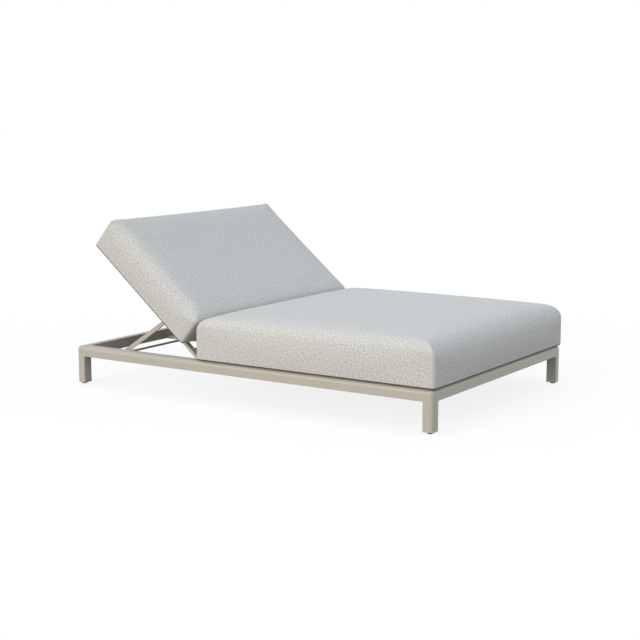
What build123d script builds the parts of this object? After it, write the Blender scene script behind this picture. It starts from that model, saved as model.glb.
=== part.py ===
from build123d import *
from math import cos, radians, sin
import os

# A double chaise lounger: a low welded tube frame, a slatted deck for the seat, a slatted backrest hinged
# at mid-length that stands on a U-shaped prop, and two loose cushions as wide as the frame.
# Millimetres, +Z up, +Y towards the head end, +X to the right of someone who stands at the foot end.
# The floor is at zero height, and the origin is under the middle of the whole model.

# The outer frame
FRAME_LENGTH = 2050
FRAME_WIDTH = 1350
RAIL_TOP = 194
RAIL_HEIGHT = 52
RAIL_WIDTH = 50
RAIL_WALL = 2
LEG_WALL = 3
LEG_BOTTOM_PLATE = 4
OUTER_ROUND = 19
INNER_ROUND = 2.5

# The foot glides
GLIDE_HEIGHT = 8
GLIDE_DIAMETER = 25
GLIDE_EDGE = 1.5
GLIDE_STEM_DIAMETER = 8
GLIDE_STEM_REACH = 12

# The fixed deck under the seat
DECK_ABOVE_RAIL = 4
SEAT_SLAT_COUNT = 8
SEAT_SLAT_WIDTH = 70
SEAT_SLAT_THICKNESS = 20
SLAT_WALL = 1.5
SLAT_END_GAP = 0.5
LEDGE_WIDTH = 28
LEDGE_HEIGHT = 28
LEDGE_THICKNESS = 4
CENTER_BEAM_WIDTH = 40
HEAD_BAR_WIDTH = 40
HEAD_BAR_HEIGHT = 11
TUBE_WALL = 2
TUBE_ROUND = 2.4

# The hinge of the backrest
HINGE_RAIL_WIDTH = 40
HINGE_RAIL_GAP = 28
HINGE_PIN_DIAMETER = 10
HINGE_PLATE_THICKNESS = 4
HINGE_PLATE_LENGTH = 56
HINGE_PLATE_HEIGHT = 40
HINGE_PLATE_DROP = 4
HINGE_PLATE_ROUND = 6
BUSH_WALL = 1
BUSH_FLANGE_DIAMETER = 20
NUT_ACROSS_FLATS = 16
NUT_THICKNESS = 8
PIN_BEYOND_NUT = 3

# The backrest's frame, drawn along its own slope
REST_RECLINE = 40
BACK_FRAME_LENGTH = 690
BACK_HEAD_GAP = 5
SIDE_TUBE_WIDTH = 32
SIDE_TUBE_HEIGHT = 16
SIDE_TUBE_GAP = 8
SIDE_TUBE_TAIL = 14
BACK_SLAT_COUNT = 6
BACK_SLAT_WIDTH = 60
BACK_SLAT_THICKNESS = 12
CROSS_TUBE_WIDTH = 32
STILE_WIDTH = 30

# The prop that holds the backrest up
PROP_SLOPE = 33.8
PROP_PIVOT_SHARE = 0.4275
PROP_PIVOT_BELOW = 22
PROP_ARM_WIDTH = 20
PROP_ARM_THICKNESS = 12
PROP_ARM_INSET = 5
PROP_BAR_DIAMETER = 12
PROP_BAR_HEIGHT = 163
PROP_BAR_END_GAP = 4
PROP_PIN_DIAMETER = 8
PROP_PIN_HEAD_DIAMETER = 12
PROP_PIN_HEAD = 3
PROP_TAB_THICKNESS = 3
PROP_TAB_RADIUS = 12
PROP_TURN_SHARE = 0.87

# The notched racks that the prop's bar drops into
RACK_WIDTH = 18
RACK_HEIGHT = 12
RACK_NOTCH_DEPTH = 6
RACK_NOTCH_RADIUS = 10
RACK_END_LENGTH = 24
RACK_ANGLES = (20, 30, 40, 47.5, 55)

# The stops under the flat backrest
STOP_HEIGHT = 12
STOP_SCREW_GAP = 3.5

# The screws that hold the slats
SCREW_DIAMETER = 4.8
SCREW_HEAD_DIAMETER = 9
SCREW_HEAD_HEIGHT = 2.5
SCREW_REACH = 4

# The cushions
SEAT_CUSHION_HINGE_GAP = 20
SEAT_CUSHION_THICKNESS = 188
SEAT_CUSHION_OVERHANG = 5
BACK_CUSHION_THICKNESS = 182
BACK_CUSHION_UP = 102.5
BACK_CUSHION_BEYOND = 114.5
CUSHION_SIDE_CROWN = 4
CUSHION_MIDDLE_CROWN = 12
CUSHION_DRAWN_IN = 5
SEAT_TOP_ROUND = 50
SEAT_BOTTOM_ROUND = 13
BACK_FRONT_ROUND = 55
BACK_REAR_ROUND = 16
CUSHION_END_DEPTH = 38
CUSHION_END_INSET = 16
CUSHION_TOP_INSET = 34
CUSHION_BOTTOM_INSET = 11
END_ROUND_TURNS = (0, 28, 54, 78)

# Clearances
FIT = 0.05
RUN_GAP = 0.4
SOFT_GAP = 0.3
OVERRUN = 1

# Places worked out from the sizes above
frame_y = SEAT_CUSHION_OVERHANG / 2
foot_y = frame_y - FRAME_LENGTH / 2
half_width = FRAME_WIDTH / 2
inner_x = half_width - RAIL_WIDTH
inner_foot_y = foot_y + RAIL_WIDTH
inner_head_y = foot_y + FRAME_LENGTH - RAIL_WIDTH
rail_bottom = RAIL_TOP - RAIL_HEIGHT
rail_middle = RAIL_TOP - RAIL_HEIGHT / 2
deck_top = RAIL_TOP + DECK_ABOVE_RAIL
ledge_top = deck_top - SEAT_SLAT_THICKNESS

hinge_y = inner_head_y - BACK_HEAD_GAP - BACK_FRAME_LENGTH
hinge_z = deck_top - BACK_SLAT_THICKNESS - SIDE_TUBE_HEIGHT / 2
hinge_rail_head_y = hinge_y - HINGE_RAIL_GAP
hinge_rail_foot_y = hinge_rail_head_y - HINGE_RAIL_WIDTH

tube_outer_x = inner_x - SIDE_TUBE_GAP
tube_inner_x = tube_outer_x - SIDE_TUBE_WIDTH
tube_middle_x = tube_outer_x - SIDE_TUBE_WIDTH / 2
tube_half = SIDE_TUBE_HEIGHT / 2
back_deck = tube_half + BACK_SLAT_THICKNESS
prop_pivot_up = PROP_PIVOT_SHARE * BACK_FRAME_LENGTH

arm_outer_x = tube_inner_x - PROP_ARM_INSET
arm_inner_x = arm_outer_x - PROP_ARM_THICKNESS
tab_outer_x = arm_outer_x + RUN_GAP + PROP_TAB_THICKNESS
tab_inner_x = arm_inner_x - RUN_GAP - PROP_TAB_THICKNESS
bar_radius = PROP_BAR_DIAMETER / 2
bar_end_x = inner_x - PROP_BAR_END_GAP


def slope_plane(degrees, y, z):
    """A plane through (y, z) whose own y rises by that many degrees towards the head end."""
    tilt = radians(degrees)
    return Plane(origin=(0, y, z), x_dir=(1, 0, 0), z_dir=(0, -sin(tilt), cos(tilt)))


def across(base, x, y, z):
    """The section plane of a bar that starts there and runs along +X. Its x is the base's y."""
    return Plane(origin=base.from_local_coords(Vector(x, y, z)), x_dir=base.y_dir, z_dir=base.x_dir)


def along(base, x, y, z):
    """The section plane of a bar that starts there and runs up the base's y. Its x is the base's z."""
    return Plane(origin=base.from_local_coords(Vector(x, y, z)), x_dir=base.z_dir, z_dir=base.y_dir)


def pivot_place(recline):
    """The prop's upper pivot, in y and z, with the backrest at a recline."""
    back = radians(recline)
    return (
        hinge_y + prop_pivot_up * cos(back) + PROP_PIVOT_BELOW * sin(back),
        hinge_z + prop_pivot_up * sin(back) - PROP_PIVOT_BELOW * cos(back),
    )


level = Plane.XY
reclined = slope_plane(REST_RECLINE, hinge_y, hinge_z)
propped = slope_plane(-PROP_SLOPE, *pivot_place(REST_RECLINE))
prop_length = (propped.origin.Z - PROP_BAR_HEIGHT) / sin(radians(PROP_SLOPE))


def bar_place(recline):
    """The prop's bar at a recline: the prop turns down by a fixed share of what the backrest turns up."""
    pivot_y, pivot_z = pivot_place(recline)
    fall = radians(PROP_SLOPE + PROP_TURN_SHARE * (recline - REST_RECLINE))
    return pivot_y + prop_length * cos(fall), pivot_z - prop_length * sin(fall)


def tube_section(size_x, size_y, wall):
    """A hollow rectangle with eased corners, in the sketch that is open."""
    RectangleRounded(size_x, size_y, TUBE_ROUND)
    RectangleRounded(size_x - 2 * wall, size_y - 2 * wall, TUBE_ROUND / 2, mode=Mode.SUBTRACT)


def keep(piece, name):
    """Labels a finished piece and writes it."""
    piece.part.label = name
    export_step(piece.part, f"parts/{name}.step")


os.makedirs("parts", exist_ok=True)
SIDES = (("left", -1), ("right", 1))
ENDS = (("foot", -1), ("head", 1))

# Four legs: square tube with a closed top and a plate across the bottom, with a hole for the glide's stem.
# The outer upright edge and the two outer top edges are well rounded.
for end, headward in ENDS:
    for side, rightward in SIDES:
        leg_x = rightward * (half_width - RAIL_WIDTH / 2)
        leg_y = frame_y + headward * (FRAME_LENGTH - RAIL_WIDTH) / 2
        with BuildPart() as leg:
            with BuildSketch(level.offset(GLIDE_HEIGHT)):
                with Locations((leg_x, leg_y)):
                    Rectangle(RAIL_WIDTH, RAIL_WIDTH)
            extrude(amount=RAIL_TOP - GLIDE_HEIGHT)
            outer_x_face = leg.faces().sort_by(Axis.X)[-1 if rightward > 0 else 0]
            outer_y_face = leg.faces().sort_by(Axis.Y)[-1 if headward > 0 else 0]
            top_edges = leg.faces().sort_by(Axis.Z)[-1].edges()
            upright = [edge for edge in outer_x_face.edges() if edge in outer_y_face.edges()]
            crests = [edge for edge in top_edges if edge in outer_x_face.edges() + outer_y_face.edges()]
            fillet(upright + crests, radius=OUTER_ROUND)
            with BuildSketch(level.offset(GLIDE_HEIGHT + LEG_BOTTOM_PLATE)):
                with Locations((leg_x, leg_y)):
                    RectangleRounded(RAIL_WIDTH - 2 * LEG_WALL, RAIL_WIDTH - 2 * LEG_WALL, OUTER_ROUND - LEG_WALL)
            extrude(amount=RAIL_TOP - OUTER_ROUND - GLIDE_HEIGHT - LEG_BOTTOM_PLATE, mode=Mode.SUBTRACT)
            with Locations((leg_x, leg_y, GLIDE_HEIGHT)):
                Cylinder(GLIDE_STEM_DIAMETER / 2 + FIT, 2 * (LEG_BOTTOM_PLATE + OVERRUN), mode=Mode.SUBTRACT)
        keep(leg, f"leg_{end}_{side}")

        # The glide: a black moulded foot with its stem up through the leg's bottom plate.
        with BuildPart() as glide:
            with BuildSketch(level):
                with Locations((leg_x, leg_y)):
                    Circle(GLIDE_DIAMETER / 2)
            extrude(amount=GLIDE_HEIGHT)
            chamfer(glide.faces().sort_by(Axis.Z)[0].edges(), length=GLIDE_EDGE)
            with BuildSketch(level.offset(GLIDE_HEIGHT)):
                with Locations((leg_x, leg_y)):
                    Circle(GLIDE_STEM_DIAMETER / 2)
            extrude(amount=GLIDE_STEM_REACH)
        keep(glide, f"foot_glide_{end}_{side}")

# The side rails, welded between the legs.
for side, rightward in SIDES:
    rail_x = rightward * (half_width - RAIL_WIDTH / 2)
    with BuildPart() as side_rail:
        with BuildSketch(along(level, rail_x, inner_foot_y, rail_middle)) as section:
            Rectangle(RAIL_HEIGHT, RAIL_WIDTH)
            crest_corners = section.vertices().group_by(Axis.X)[-1].sort_by(Axis.Y)
            fillet(crest_corners[-1 if rightward > 0 else 0], radius=OUTER_ROUND)
            fillet(section.vertices().group_by(Axis.X)[0], radius=INNER_ROUND)
            offset(amount=-RAIL_WALL, mode=Mode.SUBTRACT)
        extrude(amount=inner_head_y - inner_foot_y)
    keep(side_rail, f"side_rail_{side}")

# The end rails, welded between the legs at the foot and at the head.
for end, headward in ENDS:
    end_rail_y = frame_y + headward * (FRAME_LENGTH - RAIL_WIDTH) / 2
    with BuildPart() as end_rail:
        with BuildSketch(across(level, -inner_x, end_rail_y, rail_middle)) as section:
            Rectangle(RAIL_WIDTH, RAIL_HEIGHT)
            crest_corners = section.vertices().group_by(Axis.Y)[-1].sort_by(Axis.X)
            fillet(crest_corners[-1 if headward > 0 else 0], radius=OUTER_ROUND)
            fillet(section.vertices().group_by(Axis.Y)[0], radius=INNER_ROUND)
            offset(amount=-RAIL_WALL, mode=Mode.SUBTRACT)
        extrude(amount=2 * inner_x)
    keep(end_rail, f"{end}_rail")

# The hinge rail: the crosswise tube that ends the seat's deck, flush with the tops of the slats.
hinge_rail_middle_y = (hinge_rail_foot_y + hinge_rail_head_y) / 2
with BuildPart() as hinge_rail:
    with BuildSketch(across(level, -inner_x, hinge_rail_middle_y, (rail_bottom + deck_top) / 2)):
        tube_section(HINGE_RAIL_WIDTH, deck_top - rail_bottom, TUBE_WALL)
    extrude(amount=2 * inner_x)
keep(hinge_rail, "hinge_rail")

# The centre beam under the seat's slats, from the foot rail to the hinge rail.
with BuildPart() as seat_center_beam:
    with BuildSketch(along(level, 0, inner_foot_y, (rail_bottom + ledge_top) / 2)):
        tube_section(ledge_top - rail_bottom, CENTER_BEAM_WIDTH, TUBE_WALL)
    extrude(amount=hinge_rail_foot_y - inner_foot_y)
keep(seat_center_beam, "seat_center_beam")

# The low bar that ties the hinge rail to the head rail, under the prop's path.
with BuildPart() as head_center_bar:
    with BuildSketch(along(level, 0, hinge_rail_head_y, rail_bottom + HEAD_BAR_HEIGHT / 2)):
        tube_section(HEAD_BAR_HEIGHT, HEAD_BAR_WIDTH, TUBE_WALL)
    extrude(amount=inner_head_y - hinge_rail_head_y)
keep(head_center_bar, "head_center_bar")

# Where the seat's slats lie: evenly spaced between the foot rail and the hinge rail.
seat_slat_room = hinge_rail_foot_y - inner_foot_y
seat_slat_gap = (seat_slat_room - SEAT_SLAT_COUNT * SEAT_SLAT_WIDTH) / (SEAT_SLAT_COUNT + 1)
seat_slat_ys = [
    inner_foot_y + (number + 1) * seat_slat_gap + (number + 0.5) * SEAT_SLAT_WIDTH
    for number in range(SEAT_SLAT_COUNT)
]
seat_screw_x = inner_x - (LEDGE_WIDTH + LEDGE_THICKNESS) / 2

# The ledges: angle bars welded to the side rails' inner faces, which carry the slats' ends.
for side, rightward in SIDES:
    flange_x = rightward * (inner_x - LEDGE_WIDTH / 2)
    web_x = rightward * (inner_x - LEDGE_THICKNESS / 2)
    with BuildPart() as seat_ledge:
        with BuildSketch(along(level, flange_x, inner_foot_y, ledge_top - LEDGE_THICKNESS / 2)):
            Rectangle(LEDGE_THICKNESS, LEDGE_WIDTH)
        with BuildSketch(along(level, web_x, inner_foot_y, ledge_top - LEDGE_HEIGHT / 2)):
            Rectangle(LEDGE_HEIGHT, LEDGE_THICKNESS)
        extrude(amount=seat_slat_room)
        with Locations([(rightward * seat_screw_x, y, ledge_top) for y in seat_slat_ys]):
            Cylinder(SCREW_DIAMETER / 2 + FIT, 2 * (LEDGE_THICKNESS + OVERRUN), mode=Mode.SUBTRACT)
    keep(seat_ledge, f"seat_ledge_{side}")

# The seat's slats: flat tubes across the ledges and the centre beam.
seat_slat_half = inner_x - SLAT_END_GAP
for number, slat_y in enumerate(seat_slat_ys, start=1):
    with BuildPart() as seat_slat:
        with BuildSketch(across(level, -seat_slat_half, slat_y, ledge_top + SEAT_SLAT_THICKNESS / 2)):
            tube_section(SEAT_SLAT_WIDTH, SEAT_SLAT_THICKNESS, SLAT_WALL)
        extrude(amount=2 * seat_slat_half)
        with Locations((-seat_screw_x, slat_y, ledge_top), (seat_screw_x, slat_y, ledge_top)):
            Cylinder(SCREW_DIAMETER / 2 + FIT, 2 * (SLAT_WALL + OVERRUN), mode=Mode.SUBTRACT)
    keep(seat_slat, f"seat_slat_{number}")

# The screws of the seat's slats, driven from below through the ledges into the slats' lower walls.
with BuildPart() as seat_slat_screws:
    screw_places = [(sign * seat_screw_x, y) for sign in (-1, 1) for y in seat_slat_ys]
    with BuildSketch(level.offset(ledge_top - LEDGE_THICKNESS - SCREW_HEAD_HEIGHT)):
        with Locations(screw_places):
            Circle(SCREW_HEAD_DIAMETER / 2)
    extrude(amount=SCREW_HEAD_HEIGHT)
    with BuildSketch(level.offset(ledge_top - LEDGE_THICKNESS)):
        with Locations(screw_places):
            Circle(SCREW_DIAMETER / 2)
    extrude(amount=LEDGE_THICKNESS + SLAT_WALL + SCREW_REACH)
keep(seat_slat_screws, "seat_slat_screws")

# The hinge plates, welded to the side rails' inner faces, and the pins, bushes and nuts of the hinge.
bush_radius = HINGE_PIN_DIAMETER / 2 + FIT + BUSH_WALL
nut_inner_x = tube_inner_x - RUN_GAP - NUT_THICKNESS
for side, rightward in SIDES:
    plate_z = RAIL_TOP - HINGE_PLATE_DROP - HINGE_PLATE_HEIGHT / 2
    plate_start_x = min(rightward * inner_x, rightward * (inner_x - HINGE_PLATE_THICKNESS))
    with BuildPart() as hinge_plate:
        with BuildSketch(across(level, plate_start_x, hinge_y, plate_z)):
            RectangleRounded(HINGE_PLATE_LENGTH, HINGE_PLATE_HEIGHT, HINGE_PLATE_ROUND)
            with Locations((0, hinge_z - plate_z)):
                Circle(HINGE_PIN_DIAMETER / 2 + FIT, mode=Mode.SUBTRACT)
        extrude(amount=HINGE_PLATE_THICKNESS)
    keep(hinge_plate, f"hinge_plate_{side}")

    pin_end_x = nut_inner_x - PIN_BEYOND_NUT
    with BuildPart() as hinge_pin:
        with BuildSketch(across(level, min(rightward * inner_x, rightward * pin_end_x), hinge_y, hinge_z)):
            Circle(HINGE_PIN_DIAMETER / 2)
        extrude(amount=inner_x - pin_end_x)
    keep(hinge_pin, f"hinge_pin_{side}")

    flange_end_x = inner_x - HINGE_PLATE_THICKNESS - RUN_GAP
    with BuildPart() as hinge_bush:
        with BuildSketch(across(reclined, min(rightward * tube_inner_x, rightward * tube_outer_x), 0, 0)):
            Circle(bush_radius)
        extrude(amount=SIDE_TUBE_WIDTH)
        with BuildSketch(across(reclined, min(rightward * tube_outer_x, rightward * flange_end_x), 0, 0)):
            Circle(BUSH_FLANGE_DIAMETER / 2)
        extrude(amount=flange_end_x - tube_outer_x)
        with BuildSketch(across(reclined, min(rightward * tube_inner_x, rightward * flange_end_x), 0, 0)):
            Circle(HINGE_PIN_DIAMETER / 2 + FIT)
        extrude(amount=flange_end_x - tube_inner_x, mode=Mode.SUBTRACT)
    keep(hinge_bush, f"hinge_bush_{side}")

with BuildPart() as hinge_nuts:
    for side, rightward in SIDES:
        nut_start_x = min(rightward * nut_inner_x, rightward * (nut_inner_x + NUT_THICKNESS))
        with BuildSketch(across(level, nut_start_x, hinge_y, hinge_z)):
            RegularPolygon(NUT_ACROSS_FLATS / 2, side_count=6, major_radius=False)
            Circle(HINGE_PIN_DIAMETER / 2 + FIT, mode=Mode.SUBTRACT)
        extrude(amount=NUT_THICKNESS)
keep(hinge_nuts, "hinge_nuts")

# Where the backrest's slats lie: the first starts past the lower tube's edge, the last ends at the top.
back_slat_start = SIDE_TUBE_TAIL
back_slat_pitch = (BACK_FRAME_LENGTH - back_slat_start - BACK_SLAT_WIDTH) / (BACK_SLAT_COUNT - 1)
back_slat_ups = [
    back_slat_start + BACK_SLAT_WIDTH / 2 + number * back_slat_pitch for number in range(BACK_SLAT_COUNT)
]

# The backrest's side tubes, drilled for the hinge bushes and the slats' screws.
for side, rightward in SIDES:
    with BuildPart(reclined) as back_side_tube:
        tube_x = rightward * tube_middle_x
        with BuildSketch(along(reclined, tube_x, -SIDE_TUBE_TAIL, 0)):
            tube_section(SIDE_TUBE_HEIGHT, SIDE_TUBE_WIDTH, TUBE_WALL)
        extrude(amount=BACK_FRAME_LENGTH + SIDE_TUBE_TAIL)
        with BuildSketch(across(reclined, tube_x, 0, 0)):
            Circle(bush_radius + FIT)
        extrude(amount=SIDE_TUBE_WIDTH, both=True, mode=Mode.SUBTRACT)
        with Locations([(tube_x, up, 0) for up in back_slat_ups]):
            Cylinder(SCREW_DIAMETER / 2 + FIT, SIDE_TUBE_HEIGHT + 2 * OVERRUN, mode=Mode.SUBTRACT)
    keep(back_side_tube, f"back_side_tube_{side}")

# The backrest's cross tubes, welded between its side tubes. The middle one carries the prop.
cross_tube_ups = {
    "lower": SIDE_TUBE_TAIL + CROSS_TUBE_WIDTH / 2,
    "middle": prop_pivot_up,
    "upper": BACK_FRAME_LENGTH - CROSS_TUBE_WIDTH / 2,
}
for place, up in cross_tube_ups.items():
    with BuildPart() as back_cross_tube:
        with BuildSketch(across(reclined, -tube_inner_x, up, 0)):
            tube_section(CROSS_TUBE_WIDTH, SIDE_TUBE_HEIGHT, TUBE_WALL)
        extrude(amount=2 * tube_inner_x)
    keep(back_cross_tube, f"back_cross_tube_{place}")

# The centre stiles, which carry the slats at mid-width between the cross tubes.
for place, low, high in (("lower", "lower", "middle"), ("upper", "middle", "upper")):
    stile_start = cross_tube_ups[low] + CROSS_TUBE_WIDTH / 2
    with BuildPart() as back_stile:
        with BuildSketch(along(reclined, 0, stile_start, 0)):
            tube_section(SIDE_TUBE_HEIGHT, STILE_WIDTH, TUBE_WALL)
        extrude(amount=cross_tube_ups[high] - CROSS_TUBE_WIDTH / 2 - stile_start)
    keep(back_stile, f"back_stile_{place}")

# The backrest's slats: flat tubes on top of its frame.
for number, up in enumerate(back_slat_ups, start=1):
    with BuildPart(reclined) as back_slat:
        with BuildSketch(across(reclined, -tube_outer_x, up, tube_half + BACK_SLAT_THICKNESS / 2)):
            tube_section(BACK_SLAT_WIDTH, BACK_SLAT_THICKNESS, SLAT_WALL)
        extrude(amount=2 * tube_outer_x)
        with Locations((-tube_middle_x, up, tube_half), (tube_middle_x, up, tube_half)):
            Cylinder(SCREW_DIAMETER / 2 + FIT, 2 * (SLAT_WALL + OVERRUN), mode=Mode.SUBTRACT)
    keep(back_slat, f"back_slat_{number}")

# The screws of the backrest's slats, driven from behind through the side tubes.
with BuildPart() as back_slat_screws:
    screw_places = [(sign * tube_middle_x, up) for sign in (-1, 1) for up in back_slat_ups]
    with BuildSketch(reclined.offset(-tube_half - SCREW_HEAD_HEIGHT)):
        with Locations(screw_places):
            Circle(SCREW_HEAD_DIAMETER / 2)
    extrude(amount=SCREW_HEAD_HEIGHT)
    with BuildSketch(reclined.offset(-tube_half)):
        with Locations(screw_places):
            Circle(SCREW_DIAMETER / 2)
    extrude(amount=SIDE_TUBE_HEIGHT + SLAT_WALL + SCREW_REACH)
keep(back_slat_screws, "back_slat_screws")

# The prop's brackets: forks under the middle cross tube, and the riveted pins that the arms swing on.
for side, rightward in SIDES:
    bracket_start_x = min(rightward * tab_inner_x, rightward * tab_outer_x)
    bracket_width = tab_outer_x - tab_inner_x
    slot_start_x = bracket_start_x + PROP_TAB_THICKNESS
    with BuildPart() as prop_bracket:
        with BuildSketch(across(reclined, bracket_start_x, prop_pivot_up, -PROP_PIVOT_BELOW)):
            Circle(PROP_TAB_RADIUS)
            with Locations((0, (PROP_PIVOT_BELOW - tube_half) / 2)):
                Rectangle(2 * PROP_TAB_RADIUS, PROP_PIVOT_BELOW - tube_half)
            Circle(PROP_PIN_DIAMETER / 2 + FIT, mode=Mode.SUBTRACT)
        extrude(amount=bracket_width)
        slot_top = PROP_PIVOT_BELOW - tube_half - PROP_TAB_THICKNESS
        with BuildSketch(across(reclined, slot_start_x, prop_pivot_up, -PROP_PIVOT_BELOW)):
            with Locations((0, slot_top / 2 - PROP_TAB_RADIUS)):
                Rectangle(4 * PROP_TAB_RADIUS, slot_top + 2 * PROP_TAB_RADIUS)
        extrude(amount=bracket_width - 2 * PROP_TAB_THICKNESS, mode=Mode.SUBTRACT)
    keep(prop_bracket, f"prop_bracket_{side}")

    with BuildPart() as prop_pin:
        with BuildSketch(across(reclined, bracket_start_x, prop_pivot_up, -PROP_PIVOT_BELOW)):
            Circle(PROP_PIN_DIAMETER / 2)
        extrude(amount=bracket_width)
        for head_start_x in (bracket_start_x - PROP_PIN_HEAD, bracket_start_x + bracket_width):
            with BuildSketch(across(reclined, head_start_x, prop_pivot_up, -PROP_PIVOT_BELOW)):
                Circle(PROP_PIN_HEAD_DIAMETER / 2)
            extrude(amount=PROP_PIN_HEAD)
    keep(prop_pin, f"prop_pin_{side}")

# The prop: two flat arms with round ends, joined at their lower ends by a round bar.
for side, rightward in SIDES:
    arm_start_x = min(rightward * arm_inner_x, rightward * arm_outer_x)
    with BuildPart() as prop_arm:
        with BuildSketch(across(propped, arm_start_x, 0, 0)):
            with Locations((prop_length / 2, 0)):
                SlotCenterToCenter(prop_length, PROP_ARM_WIDTH)
            Circle(PROP_PIN_DIAMETER / 2 + FIT, mode=Mode.SUBTRACT)
            with Locations((prop_length, 0)):
                Circle(bar_radius + FIT, mode=Mode.SUBTRACT)
        extrude(amount=PROP_ARM_THICKNESS)
    keep(prop_arm, f"prop_arm_{side}")

with BuildPart() as prop_bar:
    with BuildSketch(across(propped, -bar_end_x, prop_length, 0)):
        Circle(bar_radius)
    extrude(amount=2 * bar_end_x)
keep(prop_bar, "prop_bar")

# The racks on the side rails' inner faces, with a notch under the bar's place at each recline. Their tops
# lie below the bar's lowest place, the flat pose among them.
bar_places = [bar_place(recline) for recline in RACK_ANGLES]
lowest_bar_z = min(bar_place(recline)[1] for recline in (0, *RACK_ANGLES))
rack_top = lowest_bar_z - bar_radius - RUN_GAP
rack_foot_y = bar_places[-1][0] - RACK_END_LENGTH
rack_length = bar_places[0][0] + RACK_END_LENGTH - rack_foot_y
rack_middle_y = rack_foot_y + rack_length / 2
for side, rightward in SIDES:
    rack_start_x = min(rightward * inner_x, rightward * (inner_x - RACK_WIDTH))
    with BuildPart() as prop_rack:
        with BuildSketch(across(level, rack_start_x, 0, rack_top)):
            with Locations((rack_middle_y, -RACK_HEIGHT / 2)):
                Rectangle(rack_length, RACK_HEIGHT)
            with Locations([(place_y, RACK_NOTCH_RADIUS - RACK_NOTCH_DEPTH) for place_y, place_z in bar_places]):
                Circle(RACK_NOTCH_RADIUS, mode=Mode.SUBTRACT)
        extrude(amount=RACK_WIDTH)
    keep(prop_rack, f"prop_rack_{side}")

# The stops on the side rails that the backrest's side tubes lie on when it is flat. They run from just past
# the heads of the last slat's screws to the ends of the tubes.
stop_width = inner_x - tube_inner_x
stop_foot_y = hinge_y + back_slat_ups[-1] + SCREW_HEAD_DIAMETER / 2 + STOP_SCREW_GAP
stop_length = hinge_y + BACK_FRAME_LENGTH - stop_foot_y
for side, rightward in SIDES:
    stop_x = rightward * (inner_x - stop_width / 2)
    with BuildPart() as back_stop:
        with BuildSketch(level.offset(hinge_z - tube_half - RUN_GAP - STOP_HEIGHT)):
            with Locations((stop_x, stop_foot_y + stop_length / 2)):
                RectangleRounded(stop_width, stop_length, TUBE_ROUND)
        extrude(amount=STOP_HEIGHT)
    keep(back_stop, f"back_stop_{side}")


def cushion_section(base, x, low, high, bottom, top, rounds, crown, drawn, turn):
    """One section of a cushion, square to the width: flat below, crowned above, with rounded corners.

    turn is how far the rounding of the cushion's end has come, in degrees, from none in the middle.
    """
    inset = 1 - cos(radians(turn))
    low = low + drawn + CUSHION_END_INSET * inset
    high = high - drawn - CUSHION_END_INSET * inset
    bottom = bottom + CUSHION_BOTTOM_INSET * inset
    top = top - CUSHION_TOP_INSET * inset
    top_round, bottom_round = rounds
    with BuildSketch(across(base, x, 0, 0)) as section:
        with BuildLine():
            Line((low, bottom), (high, bottom))
            Line((high, bottom), (high, top))
            ThreePointArc((high, top), ((low + high) / 2, top + crown), (low, top))
            Line((low, top), (low, bottom))
        make_face()
        fillet(section.vertices().group_by(Axis.Y)[-1], radius=top_round - CUSHION_END_INSET * inset)
        fillet(section.vertices().group_by(Axis.Y)[0], radius=bottom_round - CUSHION_BOTTOM_INSET * inset)
    return section.sketch


def cushion(base, low, high, bottom, top, rounds):
    """A cushion's closed form, in the part that is open: its crown over the width, then its rounded ends."""
    shape = (low, high, bottom, top, rounds)
    full_x = half_width - CUSHION_END_DEPTH
    middle = cushion_section(base, 0, *shape, CUSHION_MIDDLE_CROWN, CUSHION_DRAWN_IN, 0)
    shoulders = [cushion_section(base, sign * full_x, *shape, CUSHION_SIDE_CROWN, 0, 0) for sign in (-1, 1)]
    loft([shoulders[0], middle, shoulders[1]])
    for sign in (-1, 1):
        sections = []
        for turn in END_ROUND_TURNS:
            reach_share = sin(radians(turn)) / sin(radians(END_ROUND_TURNS[-1]))
            x = sign * (full_x + CUSHION_END_DEPTH * reach_share)
            sections.append(cushion_section(base, x, *shape, CUSHION_SIDE_CROWN, 0, turn))
        loft(sections, ruled=True)


# The seat cushion lies on the slats, flush with the rails, from a little past the foot rail to just before
# the hinge.
seat_low = foot_y - SEAT_CUSHION_OVERHANG
seat_high = hinge_y - SEAT_CUSHION_HINGE_GAP
seat_bottom = deck_top + SOFT_GAP
with BuildPart() as seat_cushion:
    cushion(level, seat_low, seat_high, seat_bottom, seat_bottom + SEAT_CUSHION_THICKNESS,
            (SEAT_TOP_ROUND, SEAT_BOTTOM_ROUND))
keep(seat_cushion, "seat_cushion")

# The back cushion lies on the backrest's slats, with its lower edge against the seat cushion, and stands
# past the top of the backrest's frame.
back_bottom = back_deck + SOFT_GAP
with BuildPart() as back_cushion:
    cushion(reclined, BACK_CUSHION_UP, BACK_FRAME_LENGTH + BACK_CUSHION_BEYOND, back_bottom,
            back_bottom + BACK_CUSHION_THICKNESS, (BACK_FRONT_ROUND, BACK_REAR_ROUND))
keep(back_cushion, "back_cushion")

print("hinge", hinge_y, hinge_z, "prop pivot", propped.origin, "prop length", prop_length)
print("bar places", [(recline, bar_place(recline)) for recline in (0, *RACK_ANGLES)])
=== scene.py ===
import math

import bmesh
import bpy
import numpy as np
from mathutils import Matrix, Vector


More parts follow.
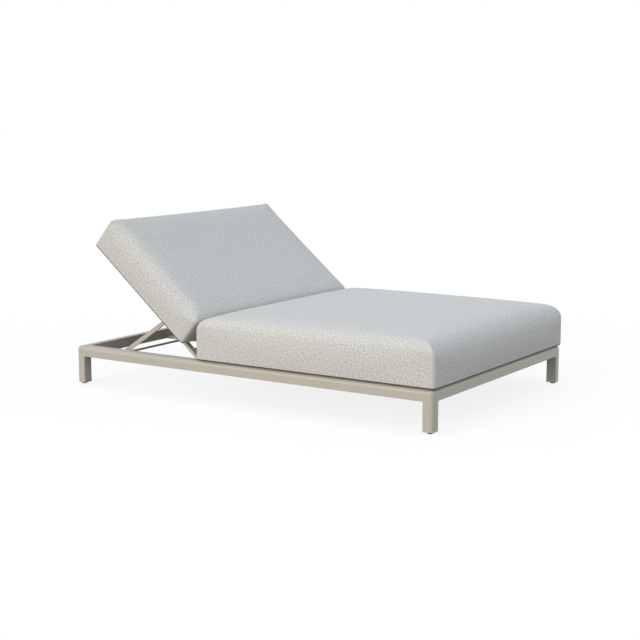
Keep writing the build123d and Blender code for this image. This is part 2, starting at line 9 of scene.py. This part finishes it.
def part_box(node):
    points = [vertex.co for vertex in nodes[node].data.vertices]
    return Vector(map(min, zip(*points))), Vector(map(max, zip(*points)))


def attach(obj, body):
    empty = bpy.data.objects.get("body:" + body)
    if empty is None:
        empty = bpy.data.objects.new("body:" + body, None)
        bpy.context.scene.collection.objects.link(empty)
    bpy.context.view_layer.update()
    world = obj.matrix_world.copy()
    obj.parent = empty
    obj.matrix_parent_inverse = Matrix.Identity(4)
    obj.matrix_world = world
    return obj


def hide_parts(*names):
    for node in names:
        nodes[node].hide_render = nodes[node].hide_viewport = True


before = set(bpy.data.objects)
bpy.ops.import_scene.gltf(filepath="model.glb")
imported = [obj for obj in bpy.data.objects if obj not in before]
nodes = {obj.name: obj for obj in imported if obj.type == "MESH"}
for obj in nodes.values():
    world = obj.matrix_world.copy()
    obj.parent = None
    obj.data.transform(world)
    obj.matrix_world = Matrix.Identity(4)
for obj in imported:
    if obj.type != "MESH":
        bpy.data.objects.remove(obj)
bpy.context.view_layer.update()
scene = bpy.context.scene
scene.view_settings.view_transform = "Standard"

# The camera stands off the near foot corner at chest height, where the photograph was taken. Its place, turn
# and lens come from the frame's corners and upright edges there.
CAMERA_PLACE = (-5.8236, -3.8024, 1.4271)
CAMERA_TURN = (math.radians(80.993), 0, math.radians(-56.896))
CAMERA_LENS = 78.28
SENSOR_WIDTH = 36

camera_data = bpy.data.cameras.new("camera")
camera_data.lens = CAMERA_LENS
camera_data.sensor_width = SENSOR_WIDTH
camera = bpy.data.objects.new("camera", camera_data)
camera.location = CAMERA_PLACE
camera.rotation_euler = CAMERA_TURN
scene.collection.objects.link(camera)
scene.camera = camera

# The welded frame: aluminium tube, ground flush at the corners and powder coated in a warm stone grey. The
# coat has a fine orange peel, faint clouding from the gun, and a pale layer on what faces up: a little dust,
# and a painted highlight that lightens the rail tops where the light falls from above.
FRAME_COLOUR = (0.525, 0.50, 0.43)
FRAME_SHADE_COLOUR = (0.48, 0.456, 0.388)
FRAME_ROUGHNESS = 0.42
DUST_AND_HIGHLIGHT_COLOUR = (0.60, 0.585, 0.55)
DUST_AND_HIGHLIGHT_FACING = (0.6, 1.0)
DUST_AND_HIGHLIGHT_MOST = 0.4
CLOUD_SCALE = 9
GRAIN_SCALE = 700
PEEL_SCALE = 420
CLOUD_SHARE = 0.7
GRAIN_SHARE = 0.3
GRAIN_HEIGHT = 0.4
PEEL_STRENGTH = 0.25
PEEL_DEPTH = 0.00025
CLOUD_ROUGHENING = 0.12
DUST_AND_HIGHLIGHT_ROUGHENING = 0.25
COAT_SPECULAR = 0.55


class Shade:
    """A socket of a node tree. Arithmetic on it adds Math nodes, and node() adds any other."""

    def __init__(self, tree, socket=None):
        self.tree = tree
        self.socket = socket

    def node(self, kind, settings, inputs, output=0):
        """Adds a node, sets it up, fills or links its inputs, and gives back one of its outputs."""
        made = self.tree.nodes.new(kind)
        for name, value in settings.items():
            if name == "stops":
                elements = made.color_ramp.elements
                while len(elements) < len(value):
                    elements.new(0.5)
                for element, (position, colour) in zip(elements, value):
                    element.position = position
                    element.color = (*colour, 1)
            else:
                setattr(made, name, value)
        for key, value in inputs.items():
            if isinstance(value, Shade):
                self.tree.links.new(value.socket, made.inputs[key])
            else:
                made.inputs[key].default_value = value
        return None if output is None else Shade(self.tree, made.outputs[output])

    def math(self, operation, first, second=0.0):
        return self.node("ShaderNodeMath", {"operation": operation}, {0: first, 1: second})

    def __add__(self, other):
        return self.math("ADD", self, other)

    def __radd__(self, other):
        return self.math("ADD", other, self)

    def __sub__(self, other):
        return self.math("SUBTRACT", self, other)

    def __rsub__(self, other):
        return self.math("SUBTRACT", other, self)

    def __mul__(self, other):
        return self.math("MULTIPLY", self, other)

    def __rmul__(self, other):
        return self.math("MULTIPLY", other, self)

    def ramp(self, low, high, at_low=0.0, at_high=1.0):
        """Runs from one value to another as this goes from low to high, and stays there beyond them."""
        return self.node("ShaderNodeMapRange", {}, {0: self, 1: low, 2: high, 3: at_low, 4: at_high})

    def blend(self, colour_a, colour_b):
        """Colour a where this is 0, colour b where it is 1."""
        settings = {"data_type": "RGBA", "clamp_factor": True}
        return self.node("ShaderNodeMix", settings, {0: self, 6: opaque(colour_a), 7: opaque(colour_b)}, 2)

    def bump(self, strength, distance):
        """The normal of a surface that has this as its relief."""
        return self.node("ShaderNodeBump", {}, {"Strength": strength, "Distance": distance, "Height": self})


def opaque(colour):
    """A colour with its alpha, or a link as it is."""
    return colour if isinstance(colour, Shade) else (*colour, 1)


def new_material(name):
    """An empty material and the pen that draws its nodes."""
    material = bpy.data.materials.new(name)
    material.use_nodes = True
    material.node_tree.nodes.clear()
    return material, Shade(material.node_tree)


def on_piece(pen):
    """A place on the piece, in its own coordinates."""
    return pen.node("ShaderNodeTexCoord", {}, {}, "Object")


def surface(pen, varying, constants):
    """Ends a material in one Principled shader: links for what varies, plain values for the rest."""
    shader = pen.node("ShaderNodeBsdfPrincipled", {}, {**constants, **varying})
    pen.node("ShaderNodeOutputMaterial", {}, {"Surface": shader}, None)


def noise(pen, place, scale, detail=2.0, roughness=0.5):
    """Noise from 0 to 1 at a scale in cells per metre."""
    inputs = {"Vector": place, "Scale": scale, "Detail": detail, "Roughness": roughness}
    return pen.node("ShaderNodeTexNoise", {}, inputs)


def powder_coat(name, colour, shade_colour, roughness):
    """Powder coat on aluminium, in a colour and the slightly darker tone that clouds it."""
    material, pen = new_material(name)
    place = on_piece(pen)
    cloud = noise(pen, place, CLOUD_SCALE, detail=3)
    grain = noise(pen, place, GRAIN_SCALE, detail=2)
    peel = noise(pen, place, PEEL_SCALE, detail=1)
    facing = pen.node("ShaderNodeTexCoord", {}, {}, "Normal")
    upward = pen.node("ShaderNodeSeparateXYZ", {}, {"Vector": facing}, "Z")
    # The pale layer on upward faces is a little dust and a painted highlight: it lightens the tops where the
    # light falls.
    dust_and_highlight = upward.ramp(*DUST_AND_HIGHLIGHT_FACING, at_high=DUST_AND_HIGHLIGHT_MOST) * cloud
    coat = (cloud * CLOUD_SHARE + grain * GRAIN_SHARE).blend(shade_colour, colour)
    surface(
        pen,
        {
            "Base Color": dust_and_highlight.blend(coat, DUST_AND_HIGHLIGHT_COLOUR),
            "Roughness": roughness + CLOUD_ROUGHENING * (cloud - 0.5) + DUST_AND_HIGHLIGHT_ROUGHENING * dust_and_highlight,
            "Normal": (peel + GRAIN_HEIGHT * grain).bump(PEEL_STRENGTH, PEEL_DEPTH),
        },
        {"Specular IOR Level": COAT_SPECULAR},
    )
    return material


def coat_nodes(material, *starts):
    """Gives a material to every CAD node whose name starts so."""
    for name, node in nodes.items():
        if name.startswith(starts):
            node.data.materials.clear()
            node.data.materials.append(material)


frame_coat = powder_coat("frame_powder_coat", FRAME_COLOUR, FRAME_SHADE_COLOUR, FRAME_ROUGHNESS)
coat_nodes(
    frame_coat, "leg_", "side_rail", "foot_rail", "head_rail", "hinge_rail", "hinge_plate", "head_center",
    "seat_center", "seat_ledge", "back_side_tube", "back_cross", "back_stile", "prop_arm", "prop_bar",
    "prop_bracket", "prop_rack", "back_stop")

# The slats: flat extruded aluminium tubes, powder coated in the frame's colour, a touch darker and duller.
# They are screwed to the ledges under the seat and to the backrest's side tubes.
SLAT_COLOUR = (0.52, 0.493, 0.425)
SLAT_SHADE_COLOUR = (0.478, 0.452, 0.388)
SLAT_ROUGHNESS = 0.5

slat_coat = powder_coat("slat_powder_coat", SLAT_COLOUR, SLAT_SHADE_COLOUR, SLAT_ROUGHNESS)
coat_nodes(slat_coat, "seat_slat_", "back_slat_")

# The glides under the legs and the bushes of the hinge: black moulded plastic, scuffed where it drags. Each
# glide has a stem up through its leg's bottom plate, and the bushes sit in the backrest's side tubes.
PLASTIC_COLOUR = (0.028, 0.028, 0.03)
PLASTIC_SCUFF_COLOUR = (0.085, 0.083, 0.08)
SCUFF_SCALE = 260
SCUFF_RANGE = (0.52, 0.75)
MOULDING_SCALE = 1500

black_plastic, pen = new_material("black_plastic")
place = on_piece(pen)
scuffs = noise(pen, place, SCUFF_SCALE, detail=4, roughness=0.65)
moulding = noise(pen, place, MOULDING_SCALE, detail=1)
scuffed = scuffs.ramp(*SCUFF_RANGE)
surface(
    pen,
    {
        "Base Color": scuffed.blend(PLASTIC_COLOUR, PLASTIC_SCUFF_COLOUR),
        "Roughness": 0.5 + 0.25 * scuffed,
        "Normal": moulding.bump(strength=0.2, distance=0.0002),
    },
    {"Specular IOR Level": 0.45},
)
coat_nodes(black_plastic, "foot_glide", "hinge_bush")

# The screws of the slats and the nuts of the hinge: stainless steel, lightly brushed by the tools that turned
# them. The screws are driven from below and from behind.
STEEL_COLOUR = (0.60, 0.595, 0.58)
STEEL_DULL_COLOUR = (0.43, 0.42, 0.40)
TARNISH_SCALE = 90
TURNING_SCALE = 300
TURNING_STRETCH = (1, 14, 14)

steel, pen = new_material("stainless_steel")
place = on_piece(pen)
tarnish = noise(pen, place, TARNISH_SCALE, detail=4)
along_turning = pen.node("ShaderNodeMapping", {}, {"Vector": place, "Scale": TURNING_STRETCH})
turning = noise(pen, along_turning, TURNING_SCALE, detail=1)
surface(
    pen,
    {
        "Base Color": tarnish.blend(STEEL_COLOUR, STEEL_DULL_COLOUR),
        "Roughness": 0.3 + 0.2 * tarnish,
        "Normal": turning.bump(strength=0.15, distance=0.0001),
    },
    {"Metallic": 1.0},
)
coat_nodes(steel, "seat_slat_screws", "back_slat_screws", "hinge_nuts")

# The pins that the backrest and the prop turn on: steel with a black zinc finish, rubbed grey in places. The
# prop's are riveted into its brackets.
BLACK_ZINC_COLOUR = (0.035, 0.034, 0.033)
RUBBED_COLOUR = (0.20, 0.195, 0.185)
WEAR_SCALE = 180
WEAR_RANGE = (0.54, 0.72)

black_zinc, pen = new_material("black_zinc")
wear = noise(pen, on_piece(pen), WEAR_SCALE, detail=5, roughness=0.6)
rubbed = wear.ramp(*WEAR_RANGE)
surface(
    pen,
    {
        "Base Color": rubbed.blend(BLACK_ZINC_COLOUR, RUBBED_COLOUR),
        "Roughness": 0.5 - 0.15 * rubbed,
        "Normal": wear.bump(strength=0.15, distance=0.0001),
    },
    {"Metallic": 0.8},
)
coat_nodes(black_zinc, "hinge_pin", "prop_pin")

# The cover fabric: a plain weave of thick solution-dyed yarns, pale grey with lighter and beige flecks, so it
# looks heathered. The pattern lies along the cloth, which the map of each cushion unfolds in metres. Its
# seams are dark, and a painted shadow darkens the hem along each cushion's bottom edge.
YARN_COLOUR = (0.67, 0.682, 0.66)
FLECK_DARK_COLOUR = (0.37, 0.365, 0.335)
FLECK_BEIGE_COLOUR = (0.60, 0.588, 0.53)
FLECK_LIGHT_COLOUR = (0.84, 0.865, 0.865)
HEATHER_STOPS = (
    (0.39, FLECK_DARK_COLOUR),
    (0.45, FLECK_BEIGE_COLOUR),
    (0.505, YARN_COLOUR),
    (0.59, FLECK_LIGHT_COLOUR),
)
# The seams' dark brown, also used to paint the shadow line under each cushion's bottom edge.
SEAM_AND_SHADOW_COLOUR = (0.10, 0.085, 0.065)
YARN_PITCH = 0.0019
HEATHER_LENGTH = 0.0075
HEATHER_WIDTH = 0.0026
MELANGE_SCALE = 330
SLUB_SCALE = 125
FIBRE_SCALE = 2600
YARN_NOISE_ROUGHNESS = 0.6
SLUB_NOISE_ROUGHNESS = 0.65
CROSSING_BLEND = 0.35
HEATHER_SHARE = 0.24
MELANGE_SHARE = 0.3
SLUB_SHARE = 0.46
GAP_WIDTH = 0.3
GAP_MOST = 0.22
DART_FADE = (0.0004, 0.0024)
HEM_SEAM_AND_SHADOW_FADE = (0.0014, 0.0030)
GAP_DARKNESS = 0.8
DART_DARKNESS = 0.28
HEM_SEAM_AND_SHADOW_DARKNESS = 0.95
FIBRE_HEIGHT = 0.5
FLECK_HEIGHT = 0.3
SEAM_SINK = 2.5
WEAVE_STRENGTH = 0.22
WEAVE_DEPTH = 0.0006

cover_fabric, pen = new_material("cover_fabric")
unfolded = pen.node("ShaderNodeUVMap", {"uv_map": "cloth"}, {})


def yarn_wave(direction):
    """The rise and fall of the yarns that lie side by side in a direction of the cloth."""
    distance = pen.node("ShaderNodeSeparateXYZ", {}, {"Vector": unfolded}, direction)
    return pen.math("SINE", distance * (math.pi / YARN_PITCH))


def streaks(width, length):
    """Noise drawn out to streaks of a width across the cloth and a length along it."""
    stretched = pen.node("ShaderNodeMapping", {}, {"Vector": unfolded, "Scale": (1 / width, 1 / length, 1)})
    return noise(pen, stretched, 1, 2, YARN_NOISE_ROUGHNESS)


def by_seam(attribute, fade):
    """1 on the seam whose distance an attribute holds, fading to 0 away from it."""
    distance = pen.math("ABSOLUTE", pen.node("ShaderNodeAttribute", {"attribute_name": attribute}, {}, "Fac"))
    return distance.ramp(*fade, at_low=1.0, at_high=0.0)


over_under = yarn_wave("X") * yarn_wave("Y")
warp_on_top = over_under.ramp(-CROSSING_BLEND, CROSSING_BLEND)
yarn_relief = pen.math("ABSOLUTE", over_under)
warp_tone = streaks(HEATHER_WIDTH, HEATHER_LENGTH)
weft_tone = streaks(HEATHER_LENGTH, HEATHER_WIDTH)
heather_tone = warp_tone * warp_on_top + weft_tone * (1 - warp_on_top)
melange = noise(pen, unfolded, MELANGE_SCALE, 2, YARN_NOISE_ROUGHNESS)
slubs = noise(pen, unfolded, SLUB_SCALE, 3, SLUB_NOISE_ROUGHNESS)
fibres = noise(pen, unfolded, FIBRE_SCALE, 2, YARN_NOISE_ROUGHNESS)
tone = HEATHER_SHARE * heather_tone + MELANGE_SHARE * melange + SLUB_SHARE * slubs
heather = pen.node("ShaderNodeValToRGB", {"stops": HEATHER_STOPS}, {0: tone})
dart = by_seam("dart", DART_FADE)
# The hem band is darkened almost to the seam colour: a real seam there, but mostly painted shadow of the gap
# between the cushion and the rail.
hem = by_seam("hem", HEM_SEAM_AND_SHADOW_FADE)
gaps = yarn_relief.ramp(0.0, GAP_WIDTH, GAP_MOST, 0.0)
darkness = GAP_DARKNESS * gaps + DART_DARKNESS * dart + HEM_SEAM_AND_SHADOW_DARKNESS * hem
seam_sink = SEAM_SINK * pen.math("MAXIMUM", dart, hem)
relief = yarn_relief + FIBRE_HEIGHT * fibres + FLECK_HEIGHT * tone - seam_sink
surface(
    pen,
    {
        "Base Color": darkness.blend(heather, SEAM_AND_SHADOW_COLOUR),
        "Roughness": 0.86 + 0.1 * fibres,
        "Normal": relief.bump(WEAVE_STRENGTH, WEAVE_DEPTH),
    },
    {"Specular IOR Level": 0.2, "Sheen Weight": 0.16, "Sheen Roughness": 0.5},
)

# The seat cushion: one deep foam block in a zipped cover, as wide as the frame. The top panel is crowned,
# wraps down over the sides and is closed by a dart at each upright corner, and the bottom panel is sewn on
# just under the block's lower edge. It lies flat on the slats.
SEAT_ROUNDS = (0.048, 0.078, 0.075)
SEAT_BOTTOM_ROUND = 0.008
SEAT_HEIGHT = 0.204
SEAT_CROWN = 0.020
SEAT_DROOPS = (0.003, 0.003)
SEAT_HEM_DEPTH = 0.0005
SEAT_CORNER_LIFT = 0.1
SEAT_FULLNESS = 0.003
EDGE_STEPS = 6
COVER_STEP = 0.0145
SIDE_STEP = 0.0125
CROWN_POWER = 4
CORNER_SHARPNESS = 6
CORNER_REACH = 0.11
CORNER_LIFT_POWER = 1.5
ROUND_BLEND_POWER = 4
DART_TOP = 0.35
DROOP_WIDTH = 0.05
SQUARE_ON = 0.5
TOUCH = 1e-6
CLOTH_FRAMES = 10
CLOTH_PRESSURE = 1.0
CLOTH_QUALITY = 4
CLOTH_STRETCH = 40
CLOTH_SHEAR = 13
CLOTH_BEND = 4
CLOTH_SHARE = 0.42
CLOTH_REACH = 0.014
LEAST_WAY = 1e-9
HELD_HEIGHT = 0.005
FOLD_CALM = 0.85
FOLD_START = 0.8
FOLD_BLEND = 0.1


def edge_lines(length, low_round, high_round):
    """Where the mesh has lines across a length: fine over the rounds at both ends, even in between."""
    turns = [1 - math.cos(math.radians(90 * step / EDGE_STEPS)) for step in range(EDGE_STEPS + 1)]
    middle = length - low_round - high_round
    count = round(middle / COVER_STEP)
    low_end = [low_round * turn for turn in turns]
    evens = [low_round + middle * step / count for step in range(1, count)]
    high_end = [length - high_round * turn for turn in reversed(turns)]
    return low_end + evens + high_end


def unrolled(place, length, low_round, high_round):
    """A place across a flat box, measured along the cloth, which is longer where it goes over a round."""
    for edge_round, depth, outward in ((low_round, place, -1), (high_round, length - place, 1)):
        if depth < edge_round:
            rise = min(1, 1 - depth / edge_round)
            place += outward * edge_round * (math.asin(rise) - rise)
            break
    return place


def cushion_cover(name, size, rounds, bottom_round, crown, droops, hem_depth, corner_lift):
    """A cushion's cover, lying flat with its middle over the origin and its bottom at zero.

    rounds are the radii of its upper edges: along its two sides, at its low end and at its high end. It
    starts as a box cut on a grid. The cloth map takes its lengths from there, unrolled over the rounds to
    come, and only then are the top, the bottom and the corners rounded and the top crowned. Towards its
    corners the cloth is drawn tight over the block, so the rounds get flatter there, by the share
    corner_lift. droops are how far the bottom hangs along its two sides and at its low end, and hem_depth is
    how far under the bottom's edge the bottom panel is sewn on.
    """
    width, length, height = size
    side_round, low_round, high_round = rounds
    side_droop, low_droop = droops
    half_width, half_length = width / 2, length / 2
    side_count = round(height / SIDE_STEP)
    lines = (
        edge_lines(width, side_round, side_round),
        edge_lines(length, low_round, high_round),
        [height * step / side_count for step in range(side_count + 1)],
    )
    form = bmesh.new()
    bmesh.ops.create_cube(form, size=1)
    for axis in range(3):
        running = [e for e in form.edges if abs((e.verts[0].co - e.verts[1].co)[axis]) > SQUARE_ON]
        bmesh.ops.subdivide_edges(form, edges=running, cuts=len(lines[axis]) - 2, use_grid_fill=True)
    for vertex in form.verts:
        for axis in range(3):
            vertex.co[axis] = lines[axis][round((vertex.co[axis] + 0.5) * (len(lines[axis]) - 1))]
    cloth_map = form.loops.layers.uv.new("cloth")
    form.normal_update()
    for face in form.faces:
        facing = face.normal
        end_round = high_round if facing.y > 0 else low_round
        wall_round = side_round if abs(facing.x) > SQUARE_ON else end_round
        wall_share = 0 if abs(facing.z) > SQUARE_ON else 1 - (wall_round + bottom_round) / height
        for loop in face.loops:
            x, y, z = loop.vert.co
            drop = (height - z) * wall_share
            loop[cloth_map].uv = (
                unrolled(x, width, side_round, side_round) + drop * round(facing.x),
                unrolled(y, length, low_round, high_round) + drop * round(facing.y),
            )
    dart_layer = form.verts.layers.float.new("dart")
    hem_layer = form.verts.layers.float.new("hem")
    for vertex in form.verts:
        x, y, z = vertex.co.x - half_width, vertex.co.y - half_length, vertex.co.z
        side_depth, end_depth = half_width - abs(x), half_length - abs(y)
        end_round = high_round if y > 0 else low_round
        across_share = max(0, 1 - side_depth / side_round)
        along_share = max(0, 1 - end_depth / end_round)
        rise = max(across_share, along_share)
        beyond_dart = 1 if z < TOUCH else max(0, DART_TOP - rise)
        vertex[dart_layer] = side_depth - end_depth + math.copysign(beyond_dart, side_depth - end_depth)
        # The hem distance also places the painted shadow line along the cover's bottom edge.
        vertex[hem_layer] = (min(side_depth, end_depth) if z < TOUCH else -z) - hem_depth
        pull = 1
        edge_round = side_round
        if rise > 0:
            total = across_share ** CORNER_SHARPNESS + along_share ** CORNER_SHARPNESS
            pull = rise / total ** (1 / CORNER_SHARPNESS)
            side_weight = across_share ** ROUND_BLEND_POWER
            end_weight = along_share ** ROUND_BLEND_POWER
            edge_round = (side_round * side_weight + end_round * end_weight) / (side_weight + end_weight)
        if across_share:
            x = math.copysign(half_width - side_round * (1 - across_share * pull), x)
        if along_share:
            y = math.copysign(half_length - end_round * (1 - along_share * pull), y)
        corner = max(0, 1 - max(side_depth, end_depth) / CORNER_REACH)
        edge_round *= 1 - corner_lift * corner ** CORNER_LIFT_POWER
        side_hang = side_droop * (1 - side_depth / DROOP_WIDTH)
        low_hang = low_droop * (1 - end_depth / DROOP_WIDTH) if y < 0 else 0
        hang = max(0, side_hang, low_hang) * (1 - z / height)
        if z > height - TOUCH:
            bow = (1 - (abs(x) / half_width) ** CROWN_POWER) * (1 - (abs(y) / half_length) ** CROWN_POWER)
            z = height - edge_round * (1 - math.sqrt(max(0, 1 - rise * rise))) + crown * bow
        elif z < TOUCH:
            low = max(0, 1 - min(side_depth, end_depth) / bottom_round)
            z = bottom_round * (1 - math.sqrt(max(0, 1 - low * low))) - hang
        else:
            z = bottom_round + (height - edge_round - bottom_round) * z / height - hang
        vertex.co = (x, y, z)
    mesh = bpy.data.meshes.new(name)
    form.to_mesh(mesh)
    form.free()
    piece = bpy.data.objects.new(name, mesh)
    scene.collection.objects.link(piece)
    mesh.materials.append(cover_fabric)
    for polygon in mesh.polygons:
        polygon.use_smooth = True
    return piece


def fill_cover(piece, fold_end):
    """Fills a cover with a short cloth run: air pressed inside it, its flat bottom held.

    Each point takes a share of its way, and goes no further than the reach. The end that meets the other
    cushion stays flatter: the high end where fold_end is 1, the low end where it is -1. One subdivision
    follows.
    """
    held = piece.vertex_groups.new(name="held")
    held.add([v.index for v in piece.data.vertices if v.co.z < HELD_HEIGHT], 1.0, "REPLACE")
    rest = np.array([v.co for v in piece.data.vertices])
    filling = piece.modifiers.new("filling", "CLOTH")
    cloth = filling.settings
    cloth.use_pressure = True
    cloth.uniform_pressure_force = CLOTH_PRESSURE
    cloth.effector_weights.gravity = 0
    cloth.vertex_group_mass = "held"
    cloth.quality = CLOTH_QUALITY
    cloth.tension_stiffness = CLOTH_STRETCH
    cloth.compression_stiffness = CLOTH_STRETCH
    cloth.shear_stiffness = CLOTH_SHEAR
    cloth.bending_stiffness = CLOTH_BEND
    filling.point_cache.frame_start = 1
    filling.point_cache.frame_end = CLOTH_FRAMES
    for frame_number in range(1, CLOTH_FRAMES + 1):
        scene.frame_set(frame_number)
    filled = piece.evaluated_get(bpy.context.evaluated_depsgraph_get())
    way = CLOTH_SHARE * (np.array([v.co for v in filled.data.vertices]) - rest)
    along = fold_end * rest[:, 1] / rest[:, 1].max()
    near_fold = np.clip((along - FOLD_START) / FOLD_BLEND, 0, 1)
    way *= 1 - FOLD_CALM * near_fold[:, None]
    far = np.linalg.norm(way, axis=1, keepdims=True)
    way *= CLOTH_REACH * np.tanh(far / CLOTH_REACH) / np.maximum(far, LEAST_WAY)
    piece.modifiers.remove(filling)
    scene.frame_set(1)
    piece.data.vertices.foreach_set("co", (rest + way).ravel())
    piece.data.update()
    finer = piece.modifiers.new("finer cloth", "SUBSURF")
    finer.levels = 1
    finer.render_levels = 1


seat_low, seat_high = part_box("seat_cushion")
seat_size = (
    seat_high.x - seat_low.x + 2 * SEAT_FULLNESS,
    seat_high.y - seat_low.y + 2 * SEAT_FULLNESS,
    SEAT_HEIGHT,
)
seat_cushion_cover = cushion_cover(
    "seat_cushion_cover", seat_size, SEAT_ROUNDS, SEAT_BOTTOM_ROUND, SEAT_CROWN, SEAT_DROOPS, SEAT_HEM_DEPTH,
    SEAT_CORNER_LIFT)
fill_cover(seat_cushion_cover, fold_end=1)
seat_middle = (seat_low + seat_high) / 2
seat_cushion_cover.data.transform(Matrix.Translation((seat_middle.x, seat_middle.y, seat_low.z)))
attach(seat_cushion_cover, "base")
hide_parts("seat_cushion")

# The back cushion: the same make, a little thinner, lying loose on the backrest's slats with its lower edge
# close to the seat cushion. Its head end is cut squarer than its sides.
HINGE_PLACE = Vector((0, 0.2825, 0.178))
BACK_RECLINE = math.radians(40)
BACK_LOW = 0.1065
BACK_HIGH = 0.8105
BACK_BOTTOM = 0.0203
BACK_WIDTH = 1.35
BACK_HEIGHT = 0.178
BACK_ROUNDS = (0.058, 0.060, 0.018)
BACK_BOTTOM_ROUND = 0.014
BACK_CROWN = 0.005
BACK_DROOPS = (0.003, 0)
BACK_HEM_DEPTH = 0.003
BACK_CORNER_LIFT = 0.42

back_size = (BACK_WIDTH, BACK_HIGH - BACK_LOW, BACK_HEIGHT)
back_cushion_cover = cushion_cover(
    "back_cushion_cover", back_size, BACK_ROUNDS, BACK_BOTTOM_ROUND, BACK_CROWN, BACK_DROOPS, BACK_HEM_DEPTH,
    BACK_CORNER_LIFT)
fill_cover(back_cushion_cover, fold_end=-1)
back_cushion_cover.data.transform(
    Matrix.Translation(HINGE_PLACE) @ Matrix.Rotation(BACK_RECLINE, 4, "X")
    @ Matrix.Translation((0, (BACK_LOW + BACK_HIGH) / 2, BACK_BOTTOM))
)
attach(back_cushion_cover, "back_pad")
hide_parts("back_cushion")

# The studio: a floor that the camera sees white, with the lounger's soft shadow on it, a cool sky and three
# broad lamps: a warm one low on the left, a weaker one beyond the foot and a faint cool one above.
FLOOR_SIZE = 80
FLOOR_COLOUR = (0.14, 0.12, 0.08)
FLOOR_GLOW = 0.84
FLOOR_SHADOW_COLOUR = (0.19, 0.19, 0.19)
SKY_COLOUR = (0.91, 0.97, 1.105)
SKY_LEVEL = 0.68
WHITE = (1, 1, 1)

floor_form = bmesh.new()
bmesh.ops.create_grid(floor_form, x_segments=1, y_segments=1, size=FLOOR_SIZE / 2)
floor_mesh = bpy.data.meshes.new("floor")
floor_form.to_mesh(floor_mesh)
floor_form.free()
floor = bpy.data.objects.new("floor", floor_mesh)
scene.collection.objects.link(floor)


def seen_directly(pen):
    """1 for rays from the camera, and for those that metal or glass sends on; 0 for light on the object."""
    seen = pen.node("ShaderNodeLightPath", {}, {}, "Is Camera Ray")
    seen = seen + pen.node("ShaderNodeLightPath", {}, {}, "Is Glossy Ray")
    return seen + pen.node("ShaderNodeLightPath", {}, {}, "Is Transmission Ray")


floor_paint, pen = new_material("floor_paint")
lit = pen.node("ShaderNodeBsdfDiffuse", {}, {"Color": opaque(FLOOR_COLOUR)})
glow = pen.node("ShaderNodeEmission", {}, {"Color": opaque(WHITE), "Strength": FLOOR_GLOW})
shadowed = pen.node("ShaderNodeBsdfDiffuse", {}, {"Color": opaque(FLOOR_SHADOW_COLOUR)})
white = pen.node("ShaderNodeAddShader", {}, {0: glow, 1: shadowed})
shown = pen.node("ShaderNodeMixShader", {}, {0: seen_directly(pen), 1: lit, 2: white})
pen.node("ShaderNodeOutputMaterial", {}, {"Surface": shown}, None)
floor_mesh.materials.append(floor_paint)

world = bpy.data.worlds.new("studio")
scene.world = world
world.use_nodes = True
world.node_tree.nodes.clear()
pen = Shade(world.node_tree)
sky = pen.node("ShaderNodeBackground", {}, {"Color": opaque(SKY_COLOUR), "Strength": SKY_LEVEL})
backdrop = pen.node("ShaderNodeBackground", {}, {"Color": opaque(WHITE), "Strength": 1.0})
shown = pen.node("ShaderNodeMixShader", {}, {0: seen_directly(pen), 1: sky, 2: backdrop})
pen.node("ShaderNodeOutputWorld", {}, {"Surface": shown}, None)


def broad_lamp(name, towards_lamp, strength, colour, spread):
    """A sun lamp as wide as a soft box, that shines from a direction."""
    lamp_data = bpy.data.lights.new(name, "SUN")
    lamp_data.energy = strength
    lamp_data.color = colour
    lamp_data.angle = math.radians(spread)
    lamp = bpy.data.objects.new(name, lamp_data)
    lamp.rotation_euler = Vector(towards_lamp).to_track_quat("Z", "Y").to_euler()
    scene.collection.objects.link(lamp)


broad_lamp("warm_side_lamp", (-0.92, 0.28, 0.26), strength=1.74, colour=(1.0, 0.89, 0.76), spread=35)
broad_lamp("cool_top_lamp", (-0.10, 0.35, 0.93), strength=0.10, colour=(0.78, 0.95, 1.0), spread=60)
broad_lamp("foot_lamp", (-0.20, -0.95, 0.15), strength=0.56, colour=(1.0, 0.97, 0.80), spread=60)
